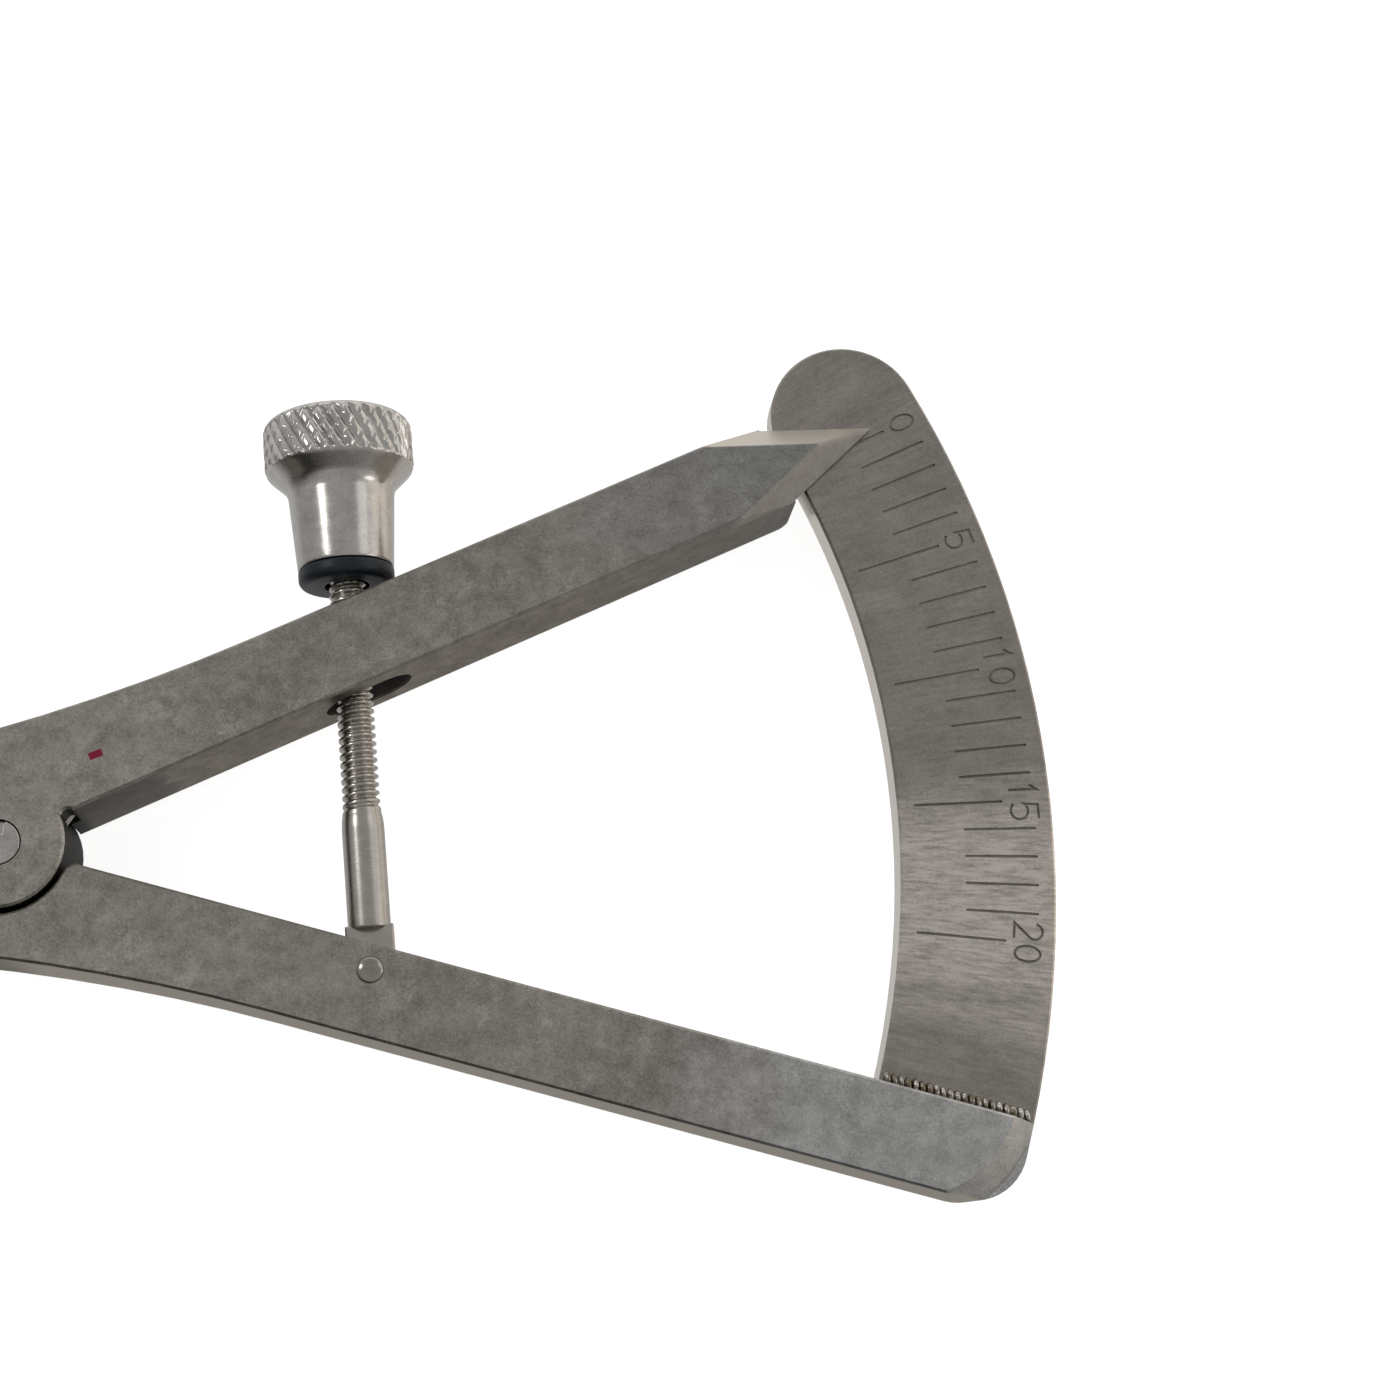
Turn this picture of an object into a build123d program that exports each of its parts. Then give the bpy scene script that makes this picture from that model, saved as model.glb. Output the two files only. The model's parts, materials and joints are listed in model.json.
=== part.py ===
"""Spring calliper with two half-lapped arms, an arc scale, a pointer and a thumb-nut screw.

While the parts are modelled the pivot axis is X = Y = 0, the centre line of the closed
instrument is +X towards the scale, and Z = 0 is the middle of the arms' thickness.
place() then moves everything together so that the origin is the middle of the underside.
"""
from build123d import *
from math import acos, asin, cos, degrees, radians, sin, tan
import os

# ---- driving dimensions, in millimetres and degrees ----
HALF_OPENING = 20.2        # centre line to a handle's inner edge with the jaws closed
THICKNESS = 4.4            # both arms, across the lap joint
HANDLE_WIDTH = 3.65
EDGE_BREAK = 0.1           # chamfer on the arms' and the plate's long edges

JAW_LENGTH = 35.8          # pivot to jaw point: 20 mm between the points for 32.4 degrees
JAW_TIP_WIDTH = 0.28
JAW_TIP_THICKNESS = 0.8
JAW_TIP_GAP = 0.03         # each jaw point to the centre line
JAW_ROOT_GAP = 0.16        # each jaw to the centre line, at the lap joint
JAW_TAPER_START = 7.0      # pivot to where the jaws start to thin
SHOULDER_X = 0.8           # where the handle's and the jaw's outer lines would cross
SHOULDER_RADIUS = 80.0     # long hollow curve between those two lines

LAP_GAP = 0.04             # between the two lap discs
DISC_RADIUS = 2.62         # each arm's lap disc
SCALE_RECESS_RADIUS = 2.86 # what the scale arm leaves free round the pointer arm's disc
POINTER_RECESS_RADIUS = 2.7 # and the pointer arm round the scale arm's disc
NOSE_RADIUS = 0.45         # rounds the recess where it meets the scale arm's inner edge
CORNER_RELIEF_RADIUS = 0.28
CORNER_RELIEF_ANGLE = 17.2 # from the centre line

PIVOT_HEAD_RADIUS = 0.9
PIVOT_HEAD_THICKNESS = 0.58
PIVOT_SHANK_RADIUS = 0.6
PIVOT_CLEARANCE = 0.04
DRIVER_SLOT_WIDTH = 0.24
DRIVER_SLOT_DEPTH = 0.22
DRIVER_SLOT_TURN = 76.0

SPRING_RADIUS = 1.3        # middle of the wire
SPRING_WIRE = 0.3
SPRING_PITCH = 0.34
SPRING_TURNS = 4           # less what the legs take off
SPRING_LEG_REACH = 2.95    # pivot axis to the end of each leg
POCKET_RADIUS = 1.75
POCKET_DEPTH = 0.85
LEG_GROOVE_WIDTH = 0.42
UPPER_LEG_ANGLE = 25.0     # where the pointer arm's leg ends
LOWER_LEG_ANGLE = -28.0    # where the scale arm's leg ends

POINTER_REACH = 40.5       # pointer tip, along the arm
POINTER_OFFSET = 1.7       # pointer tip, outward from the inner edge
POINTER_BEVEL_START = 32.8
POINTER_RIDGE_START = 37.6
POINTER_TIP_HEIGHT = 1.15  # underside of the pointer above mid-thickness
POINTER_HEEL = 35.9       # where the full thickness ends
POINTER_HEEL_RADIUS = 0.7
SCREW_SLOT_LENGTH = 3.85
SCREW_SLOT_HEIGHT = 2.3
SCREW_SLOT_CENTRE = 15.85  # along the pointer arm

PIN_REACH = 15.57          # cross pin, along the scale arm
PIN_OFFSET = 1.04          # cross pin, outward from the inner edge
PIN_RADIUS = 0.55
PIN_DOME = 0.2
TONGUE_WIDTH = 1.95
TONGUE_THICKNESS = 1.1
TONGUE_LENGTH = 1.95       # pin to shoulder
TONGUE_SLOT_LENGTH = 3.3
TONGUE_SLOT_DEPTH = 2.35
TONGUE_SLOT_HEIGHT = 1.25

SHANK_RADIUS = 0.875
SHANK_END = 6.3            # from the pin
THREAD_START = 7.05
THREAD_END = 21.4
THREAD_RADIUS = 0.775
THREAD_CLEARANCE = 0.03

RING_BOTTOM = 16.65        # from the pin, jaws closed
RING_HEIGHT = 0.7
RING_RADIUS = 2.03
RING_BORE_RADIUS = 0.95
RING_ROUNDING = 0.3
NUT_GAP = 0.02             # between ring and nut
NECK_RADIUS = 2.27         # at the head; the ring's radius at the ring
NECK_LENGTH = 3.55
UNDERCUT_LENGTH = 0.88     # cone under the head
HEAD_RADIUS = 3.18
HEAD_LENGTH = 2.2
HEAD_BREAK = 0.3

SCALE_INNER_RADIUS = 36.5
SCALE_OUTER_RADIUS = 43.1
SCALE_TOP = 1.0            # above mid-thickness
SCALE_THICKNESS = 1.6
SCALE_END_ANGLE = 24.0     # middle of the round end
SCALE_ARM_LENGTH = 43.05
ARM_END_RADIUS = 2.3
END_CONE_REACH = 37.5      # axis of the cone that bevels the free end, along the arm
END_CONE_OFFSET = -0.2     # and outward from its inner edge
END_CONE_RADIUS = 4.47     # at the arm's upper face
END_CONE_DEPTH = 1.1

ZERO_ANGLE = 22.15         # tick 0 from the centre line
TICK_WIDTH = 0.11
TICK_DEPTH = 0.09
TICK_RADII = (39.25, 42.35)
LONG_TICK_RADII = (37.2, 41.0)
NUMERAL_RADIUS = 41.9      # middle of the numerals
NUMERAL_HEIGHT = 1.2
NUMERAL_WIDTH = 0.65
NUMERAL_PITCH = 0.94       # from digit to digit
NUMERAL_STROKE = 0.11
READINGS = 20
NUMBERED_EVERY = 5

BEAD_COUNT = 21
BEAD_RADIUS = 0.3
BEAD_OFFSET = 0.27         # bead's middle, from the arm's inner edge

HALF = THICKNESS / 2
CUT = 20.0                 # longer than anything that a cut goes through
HANDLE_U = Vector(cos(radians(HALF_OPENING)), sin(radians(HALF_OPENING)))
HANDLE_N = Vector(-sin(radians(HALF_OPENING)), cos(radians(HALF_OPENING)))


def on_handle(along, outward, height=0.0):
    """A point of the pointer arm, from distances along and outward from its inner edge."""
    return HANDLE_U * along + HANDLE_N * outward + Vector(0, 0, height)


def polar(radius, angle):
    return Vector(radius * cos(radians(angle)), radius * sin(radians(angle)))


def nearest(items, point):
    return items.sort_by(lambda item: (item.center() - point).length)[0]


def arm_outline(length):
    """Plan of an arm on the pointer's side: inner edge, handle, hollow shoulder and jaw."""
    tip_outer = Vector(-JAW_LENGTH, JAW_TIP_GAP + JAW_TIP_WIDTH)
    shoulder_y = SHOULDER_X * tan(radians(HALF_OPENING)) + HANDLE_WIDTH / cos(radians(HALF_OPENING))
    shoulder = Vector(SHOULDER_X, shoulder_y)
    outline = make_face(Polyline(
        (-JAW_LENGTH, JAW_TIP_GAP),
        on_handle(JAW_ROOT_GAP / sin(radians(HALF_OPENING)), 0),
        on_handle(length, 0),
        on_handle(length, HANDLE_WIDTH),
        shoulder,
        tip_outer,
        close=True,
    ))
    return fillet(nearest(outline.vertices(), shoulder), SHOULDER_RADIUS)


def layer(outline, low, high, outer_face):
    """One half of an arm's thickness, with the edges of its outer face broken."""
    solid = extrude(Plane.XY.offset(low) * outline, high - low)
    face = solid.faces().sort_by(Axis.Z)[-1 if outer_face == "top" else 0]
    return chamfer(face.edges(), EDGE_BREAK)


def thin_jaw(arm):
    """Keep what lies inside a side view that tapers from the lap joint to the jaw point."""
    side_view = make_face(Polyline(
        (-JAW_LENGTH - 1, -JAW_TIP_THICKNESS / 2),
        (-JAW_TAPER_START, -HALF),
        (2 * CUT + JAW_LENGTH, -HALF),
        (2 * CUT + JAW_LENGTH, HALF),
        (-JAW_TAPER_START, HALF),
        (-JAW_LENGTH - 1, JAW_TIP_THICKNESS / 2),
        close=True,
    ))
    return arm & extrude(Plane.XZ * side_view, 2 * CUT, both=True)


def beyond(a, b, c):
    """Everything on the far side of the plane through three points, for a bevel cut."""
    normal = (b - a).cross(c - a).normalized()
    return extrude(Plane(origin=a, z_dir=normal) * Rectangle(2 * CUT, 2 * CUT), CUT)


def leg_line(leg_angle, turn):
    """A spring leg's two ends in plan: it leaves the coil along a tangent."""
    spread = degrees(acos(SPRING_RADIUS / SPRING_LEG_REACH))
    return polar(SPRING_RADIUS, leg_angle - turn * spread), polar(SPRING_LEG_REACH, leg_angle)


def leg_groove(leg_angle, turn, low, high):
    start, end = leg_line(leg_angle, turn)
    middle, run = (start + end) / 2, end - start
    groove = Rectangle(run.length + LEG_GROOVE_WIDTH, LEG_GROOVE_WIDTH)
    flat = Plane(origin=(middle.X, middle.Y, low), x_dir=run, z_dir=(0, 0, 1))
    return extrude(flat * groove, high - low)


def pointer_arm():
    outline = arm_outline(POINTER_REACH + 1)
    split = LAP_GAP / 2
    relief = Pos(*polar(DISC_RADIUS + CORNER_RELIEF_RADIUS, CORNER_RELIEF_ANGLE)) \
        * Circle(CORNER_RELIEF_RADIUS)
    upper = layer(outline + Circle(DISC_RADIUS) - relief, split, HALF, "top")
    lower = layer(outline - Circle(POINTER_RECESS_RADIUS), -HALF, split, "bottom")
    arm = thin_jaw(upper + lower)
    arm -= pointer_bevels()
    arm -= pointer_heel()
    slot = SlotOverall(SCREW_SLOT_LENGTH, SCREW_SLOT_HEIGHT)
    slot_plane = Plane(origin=on_handle(SCREW_SLOT_CENTRE, -1), x_dir=HANDLE_U, z_dir=HANDLE_N)
    arm -= extrude(slot_plane * slot, HANDLE_WIDTH + 3)
    arm -= hole(PIVOT_SHANK_RADIUS + PIVOT_CLEARANCE, 0, HALF)
    arm -= hole(PIVOT_HEAD_RADIUS + PIVOT_CLEARANCE, HALF - PIVOT_HEAD_THICKNESS, HALF + 1)
    arm -= hole(POCKET_RADIUS, 0, POCKET_DEPTH)
    return arm - leg_groove(UPPER_LEG_ANGLE, 1, 0, POCKET_DEPTH)


def hole(radius, low, high):
    return extrude(Plane.XY.offset(low) * Circle(radius), high - low)


def pointer_bevels():
    """Two planes that narrow the top face to a ridge, which falls to the tip."""
    tip = on_handle(POINTER_REACH, POINTER_OFFSET, POINTER_TIP_HEIGHT)
    ridge = on_handle(POINTER_RIDGE_START, POINTER_OFFSET, HALF)
    inner_start = on_handle(POINTER_BEVEL_START, 0, HALF)
    outer_start = on_handle(POINTER_BEVEL_START, HANDLE_WIDTH, HALF)
    return beyond(inner_start, tip, ridge) + beyond(outer_start, ridge, tip)


def pointer_heel():
    """The space under the pointer, where the plate passes: everything past the round heel."""
    far = POINTER_REACH + 3
    side = make_face(Polyline(
        (POINTER_HEEL, POINTER_TIP_HEIGHT), (far, POINTER_TIP_HEIGHT),
        (far, -HALF), (POINTER_HEEL, -HALF), close=True,
    ))
    middle = (POINTER_HEEL - POINTER_HEEL_RADIUS, -HALF + POINTER_HEEL_RADIUS)
    square = Rectangle(POINTER_HEEL_RADIUS, POINTER_HEEL_RADIUS, align=(Align.MIN, Align.MAX))
    side += Pos(*middle) * (square - Circle(POINTER_HEEL_RADIUS))
    across = Plane(origin=on_handle(0, -CUT / 2), x_dir=HANDLE_U, z_dir=HANDLE_N * -1)
    return extrude(across * side, CUT, both=True)


def scale_arm():
    outline = arm_outline(SCALE_ARM_LENGTH)
    outline = fillet(nearest(outline.vertices(), on_handle(SCALE_ARM_LENGTH, HANDLE_WIDTH)),
                     ARM_END_RADIUS)
    split = -LAP_GAP / 2
    upper_outline = outline - Circle(SCALE_RECESS_RADIUS)
    nose = nearest(upper_outline.vertices(), on_handle(SCALE_RECESS_RADIUS, 0))
    upper = layer(fillet(nose, NOSE_RADIUS), split, HALF, "top")
    lower = layer(outline + Circle(DISC_RADIUS), -HALF, split, "bottom")
    arm = thin_jaw(upper + lower)
    arm -= end_bevel()
    slot = Box(TONGUE_SLOT_LENGTH, 2 * TONGUE_SLOT_DEPTH, TONGUE_SLOT_HEIGHT)
    arm -= Pos(*on_handle(PIN_REACH, 0)) * Rot(0, 0, HALF_OPENING) * slot
    arm -= Pos(*on_handle(PIN_REACH, PIN_OFFSET)) * hole(PIN_RADIUS, -HALF - 1, HALF + 1)
    arm = mirror(arm, about=Plane.XZ)
    arm -= hole(PIVOT_SHANK_RADIUS, -HALF - 1, 0)
    arm -= hole(POCKET_RADIUS, -POCKET_DEPTH, 0)
    return arm - leg_groove(LOWER_LEG_ANGLE, -1, -POCKET_DEPTH, 0)


def end_bevel():
    """What lies outside a cone that bevels the free end and fades out along the outer edge."""
    base_radius = END_CONE_RADIUS + END_CONE_DEPTH
    cone = Cone(base_radius, END_CONE_RADIUS, END_CONE_DEPTH)
    around = Cylinder(CUT, END_CONE_DEPTH) & Box(CUT, CUT, CUT, align=(Align.MIN,) + 2 * (Align.CENTER,))
    centre = on_handle(END_CONE_REACH, END_CONE_OFFSET, HALF - END_CONE_DEPTH / 2)
    return Pos(*centre) * Rot(0, 0, HALF_OPENING) * (around - cone)


def scale_plate():
    middle = (SCALE_INNER_RADIUS + SCALE_OUTER_RADIUS) / 2
    half_width = (SCALE_OUTER_RADIUS - SCALE_INNER_RADIUS) / 2
    mid_angle = (SCALE_END_ANGLE - HALF_OPENING) / 2
    low, high = -HALF_OPENING, SCALE_END_ANGLE
    end_tip = polar(middle, high) + Vector(-sin(radians(high)), cos(radians(high))) * half_width
    outline = make_face([
        ThreePointArc(polar(SCALE_INNER_RADIUS, low), polar(SCALE_INNER_RADIUS, mid_angle),
                      polar(SCALE_INNER_RADIUS, high)),
        ThreePointArc(polar(SCALE_INNER_RADIUS, high), end_tip, polar(SCALE_OUTER_RADIUS, high)),
        ThreePointArc(polar(SCALE_OUTER_RADIUS, high), polar(SCALE_OUTER_RADIUS, mid_angle),
                      polar(SCALE_OUTER_RADIUS, low)),
        Line(polar(SCALE_OUTER_RADIUS, low), polar(SCALE_INNER_RADIUS, low)),
    ])
    plate = extrude(Plane.XY.offset(SCALE_TOP - SCALE_THICKNESS) * outline, SCALE_THICKNESS)
    rims = plate.edges().filter_by(GeomType.CIRCLE)
    plate = chamfer(rims, EDGE_BREAK)
    marks = Sketch() + [tick(reading) for reading in range(READINGS + 1)]
    marks += [numeral(reading) for reading in range(0, READINGS + 1, NUMBERED_EVERY)]
    return plate - extrude(Plane.XY.offset(SCALE_TOP) * marks, -TICK_DEPTH)


def reading_angle(reading):
    """Each reading is the distance between the jaw points, so it follows the chord."""
    return ZERO_ANGLE - 2 * degrees(asin(reading / (2 * JAW_LENGTH)))


def tick(reading):
    inner, outer = TICK_RADII if reading % NUMBERED_EVERY else LONG_TICK_RADII
    slot = SlotOverall(outer - inner, TICK_WIDTH)
    return Rot(0, 0, reading_angle(reading)) * Pos((inner + outer) / 2, 0) * slot


def numeral(reading):
    """The reading's digits, in single strokes, their tops towards the plate's outer edge."""
    digits = str(reading)
    first = -NUMERAL_PITCH * (len(digits) - 1) / 2
    text = Sketch() + [
        Pos(first + NUMERAL_PITCH * i, 0) * digit(character) for i, character in enumerate(digits)
    ]
    outward_up = Rot(0, 0, reading_angle(reading)) * Pos(NUMERAL_RADIUS, 0) * Rot(0, 0, -90)
    return outward_up * text


def digit(character):
    """One digit about its own centre: bars and bows on a cell of height h and half-width w."""
    h, w, half_stroke = NUMERAL_HEIGHT / 2, NUMERAL_WIDTH / 2, NUMERAL_STROKE / 2
    if character == "0":
        return Ellipse(w + half_stroke, h) - Ellipse(w - half_stroke, h - NUMERAL_STROKE)
    strokes = {
        "1": [Polyline((-w * 0.6, h * 0.55), (0, h), (0, -h))],
        "2": [CenterArc((0, h - w), w, 170, -200),
              Polyline(Vector(0, h - w) + polar(w, -30), (-w, -h), (w, -h))],
        "5": [Polyline((w, h), (-w * 0.85, h), (-w, h * 0.05)),
              ThreePointArc((-w, h * 0.05), (w, -h * 0.35), (-w, -h * 0.75))],
    }[character]
    return trace(Curve() + strokes, line_width=NUMERAL_STROKE)


def weld_beads(height, arm, plate):
    """A row of overlapping beads in the corner between the plate and the scale arm."""
    first, last = SCALE_INNER_RADIUS + BEAD_RADIUS, SCALE_ARM_LENGTH - BEAD_RADIUS
    step = (last - first) / (BEAD_COUNT - 1)
    beads = Part() + [
        Rot(0, 0, -HALF_OPENING) * Pos(first + step * i, BEAD_OFFSET, height) * Sphere(BEAD_RADIUS)
        for i in range(BEAD_COUNT)
    ]
    return beads - arm - plate


def pivot_screw():
    """Flat slotted head in the pointer arm, shank screwed into the scale arm's disc."""
    under_head = HALF - PIVOT_HEAD_THICKNESS + LAP_GAP / 2
    head = hole(PIVOT_HEAD_RADIUS, under_head, HALF)
    head = chamfer(head.edges().sort_by(Axis.Z)[-1], EDGE_BREAK / 2)
    slot = Rot(0, 0, DRIVER_SLOT_TURN) * Pos(0, 0, HALF) \
        * Box(CUT, DRIVER_SLOT_WIDTH, 2 * DRIVER_SLOT_DEPTH)
    return head - slot + hole(PIVOT_SHANK_RADIUS, -HALF, under_head)


def torsion_spring():
    """A coil that climbs from the scale arm's leg to the pointer arm's leg."""
    spread = degrees(acos(SPRING_RADIUS / SPRING_LEG_REACH))
    start_angle, end_angle = LOWER_LEG_ANGLE + spread, UPPER_LEG_ANGLE - spread
    height = SPRING_PITCH * (SPRING_TURNS + (end_angle - start_angle) / 360)
    coil = Pos(0, 0, -height / 2) * Rot(0, 0, start_angle) \
        * Helix(pitch=SPRING_PITCH, height=height, radius=SPRING_RADIUS)
    spring = sweep(Plane(origin=coil @ 0, z_dir=coil % 0) * Circle(SPRING_WIRE / 2), path=coil)
    for leg_angle, turn in ((LOWER_LEG_ANGLE, -1), (UPPER_LEG_ANGLE, 1)):
        start, end = leg_line(leg_angle, turn)
        base = Plane(origin=(start.X, start.Y, turn * height / 2), z_dir=end - start)
        spring += extrude(base * Circle(SPRING_WIRE / 2), (end - start).length)
    return spring


def on_screw(solid):
    """Place a part modelled along Z so that Z = 0 is the cross pin and +Z is the screw's axis."""
    pin = on_handle(PIN_REACH, PIN_OFFSET)
    return Plane(origin=(pin.X, -pin.Y, 0), x_dir=(1, 0, 0), z_dir=(0, 1, 0)) * solid


def turned(points):
    """A turned solid from its half section, given as (radius, height) points."""
    return revolve(Plane.XZ * make_face(Polyline(*points, close=True)), Axis.Z)


def adjusting_screw():
    rod = turned([
        (0, TONGUE_LENGTH), (SHANK_RADIUS, TONGUE_LENGTH), (SHANK_RADIUS, SHANK_END),
        (THREAD_RADIUS, THREAD_START), (THREAD_RADIUS, THREAD_END - EDGE_BREAK),
        (THREAD_RADIUS - EDGE_BREAK, THREAD_END), (0, THREAD_END),
    ])
    tongue = Pos(0, TONGUE_LENGTH / 2) * Rectangle(TONGUE_WIDTH, TONGUE_LENGTH) \
        + Circle(TONGUE_WIDTH / 2)
    tongue -= Circle(PIN_RADIUS + PIVOT_CLEARANCE)
    upright = Plane(origin=(0, 0, 0), x_dir=(1, 0, 0), z_dir=(0, -1, 0))
    return on_screw(rod + extrude(upright * tongue, TONGUE_THICKNESS / 2, both=True))


def cross_pin():
    """Plain pin whose ends are domed over the scale arm's two faces."""
    top = HALF + PIN_DOME
    dome_radius = (PIN_RADIUS ** 2 + PIN_DOME ** 2) / (2 * PIN_DOME)
    halfway = asin(PIN_RADIUS / dome_radius) / 2
    on_dome = (dome_radius * sin(halfway), top - dome_radius * (1 - cos(halfway)))
    side = [
        ThreePointArc((PIN_RADIUS, HALF), on_dome, (0, top)),
        Line((0, top), (0, -top)),
        ThreePointArc((0, -top), (on_dome[0], -on_dome[1]), (PIN_RADIUS, -HALF)),
        Line((PIN_RADIUS, -HALF), (PIN_RADIUS, HALF)),
    ]
    pin = on_handle(PIN_REACH, PIN_OFFSET)
    return Pos(pin.X, -pin.Y, 0) * revolve(Plane.XZ * make_face(side), Axis.Z)


def friction_ring():
    ring = Pos(0, 0, RING_BOTTOM) * Cylinder(
        RING_RADIUS, RING_HEIGHT, align=(Align.CENTER, Align.CENTER, Align.MIN))
    ring = fillet(ring.edges().group_by(Axis.Z)[0], RING_ROUNDING)
    ring -= Pos(0, 0, RING_BOTTOM - 1) * Cylinder(
        RING_BORE_RADIUS, RING_HEIGHT + 2, align=(Align.CENTER, Align.CENTER, Align.MIN))
    return on_screw(ring)


def thumb_nut():
    bore = THREAD_RADIUS + THREAD_CLEARANCE
    neck_start = RING_BOTTOM + RING_HEIGHT + NUT_GAP
    cone_start = neck_start + NECK_LENGTH
    head_start = cone_start + UNDERCUT_LENGTH
    top = head_start + HEAD_LENGTH
    return on_screw(turned([
        (bore, neck_start), (RING_RADIUS, neck_start), (NECK_RADIUS, cone_start),
        (HEAD_RADIUS - EDGE_BREAK, head_start - EDGE_BREAK), (HEAD_RADIUS, head_start),
        (HEAD_RADIUS, top - HEAD_BREAK), (HEAD_RADIUS - HEAD_BREAK, top),
        (bore + HEAD_BREAK, top), (bore, top - HEAD_BREAK),
    ]))


def place(parts):
    """Move all parts together: origin at the middle of the underside of their common box."""
    box = Compound(children=[Compound(part.solids()) for part in parts.values()]).bounding_box()
    move = Vector(-box.center().X, -box.center().Y, -box.min.Z)
    print("moved by", tuple(round(value, 4) for value in move), "size", box.size)
    return {name: Pos(*move) * part for name, part in parts.items()}


def main():
    os.makedirs("parts", exist_ok=True)
    parts = {
        "scale_arm": scale_arm(),
        "scale_plate": scale_plate(),
        "pointer_arm": pointer_arm(),
        "pivot_screw": pivot_screw(),
        "torsion_spring": torsion_spring(),
        "adjusting_screw": adjusting_screw(),
        "cross_pin": cross_pin(),
        "friction_ring": friction_ring(),
        "thumb_nut": thumb_nut(),
    }
    arm, plate = parts["scale_arm"], parts["scale_plate"]
    parts["weld_bead_top"] = weld_beads(SCALE_TOP, arm, plate)
    parts["weld_bead_under"] = weld_beads(SCALE_TOP - SCALE_THICKNESS, arm, plate)
    for name, part in place(parts).items():
        export_step(part, f"parts/{name}.step")


main()
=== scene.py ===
"""Spring calliper: visible surfaces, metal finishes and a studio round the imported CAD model."""
import json
import math

import bpy
import numpy as np
from mathutils import Matrix, Vector


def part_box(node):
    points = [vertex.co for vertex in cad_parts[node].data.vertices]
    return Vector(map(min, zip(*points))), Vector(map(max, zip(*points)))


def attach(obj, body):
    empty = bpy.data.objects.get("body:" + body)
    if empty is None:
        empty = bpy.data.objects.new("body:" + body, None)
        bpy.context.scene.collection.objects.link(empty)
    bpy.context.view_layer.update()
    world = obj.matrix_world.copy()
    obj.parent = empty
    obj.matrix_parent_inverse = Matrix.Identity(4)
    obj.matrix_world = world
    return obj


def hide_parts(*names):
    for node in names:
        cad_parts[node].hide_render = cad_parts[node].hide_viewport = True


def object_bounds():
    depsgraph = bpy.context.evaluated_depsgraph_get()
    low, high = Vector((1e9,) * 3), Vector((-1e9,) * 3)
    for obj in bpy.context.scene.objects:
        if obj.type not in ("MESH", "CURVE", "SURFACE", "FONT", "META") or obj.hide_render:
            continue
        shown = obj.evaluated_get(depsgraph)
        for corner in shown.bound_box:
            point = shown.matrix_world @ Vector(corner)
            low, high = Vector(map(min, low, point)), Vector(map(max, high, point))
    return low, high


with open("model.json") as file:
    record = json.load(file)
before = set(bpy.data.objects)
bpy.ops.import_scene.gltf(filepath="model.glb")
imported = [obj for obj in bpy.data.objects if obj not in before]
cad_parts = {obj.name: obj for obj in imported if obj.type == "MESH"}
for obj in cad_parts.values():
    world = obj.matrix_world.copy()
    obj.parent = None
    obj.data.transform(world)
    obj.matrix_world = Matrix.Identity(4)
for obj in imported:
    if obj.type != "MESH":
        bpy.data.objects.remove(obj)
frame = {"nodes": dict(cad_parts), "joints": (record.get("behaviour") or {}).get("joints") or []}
cad_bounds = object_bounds()

bl_info = {
    "name": "Spring Calliper",
    "version": (1, 0, 0),
    "blender": (4, 5, 0),
    "location": "3D View > Sidebar > Calliper",
    "description": "Adds a small stainless spring calliper with its finishes and a studio",
    "category": "Add Mesh",
}

MM = 0.001
TURN = 2 * math.pi
JOINTS = {joint["name"]: joint for joint in frame["joints"]}
PIVOT = Vector(JOINTS["arm_pivot"]["pos_m"])
PIN = Vector(JOINTS["screw_swing"]["pos_m"])
X, Y, Z = Vector((1, 0, 0)), Vector((0, 1, 0)), Vector((0, 0, 1))
HALF_OPENING = math.radians(20.2)  # centre line to each arm's inner edge, at rest
PAINTED_SHADE_COLOUR = (0.075, 0.070, 0.063)  # the colour of the painted shade in the joint, on the pointer arm's inner side and in its screw slot


# ---------------------------------------------------------------- sizes and colours

class ScrewSizes(bpy.types.PropertyGroup):
    """Sizes of the adjusting screw and its tongue."""
    pitch: bpy.props.FloatProperty(
        name="Pitch", description="Rise of the thread in one turn",
        default=0.35 * MM, unit="LENGTH")
    thread_depth: bpy.props.FloatProperty(
        name="Thread depth", description="Crest to root of the thread",
        default=0.17 * MM, unit="LENGTH")
    thread_radius: bpy.props.FloatProperty(
        name="Thread radius", description="Axis to the thread's crest",
        default=0.775 * MM, unit="LENGTH")
    tongue_length: bpy.props.FloatProperty(
        name="Tongue length", description="Cross pin to the shoulder under the shank",
        default=1.95 * MM, unit="LENGTH")
    tongue_thickness: bpy.props.FloatProperty(
        name="Tongue thickness", description="Tongue's thickness in the scale arm's slot",
        default=1.1 * MM, unit="LENGTH")
    shank_end: bpy.props.FloatProperty(
        name="Shank end", description="Cross pin to the cone between shank and thread",
        default=6.3 * MM, unit="LENGTH")
    thread_start: bpy.props.FloatProperty(
        name="Thread start", description="Cross pin to the first full thread",
        default=7.05 * MM, unit="LENGTH")


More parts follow.
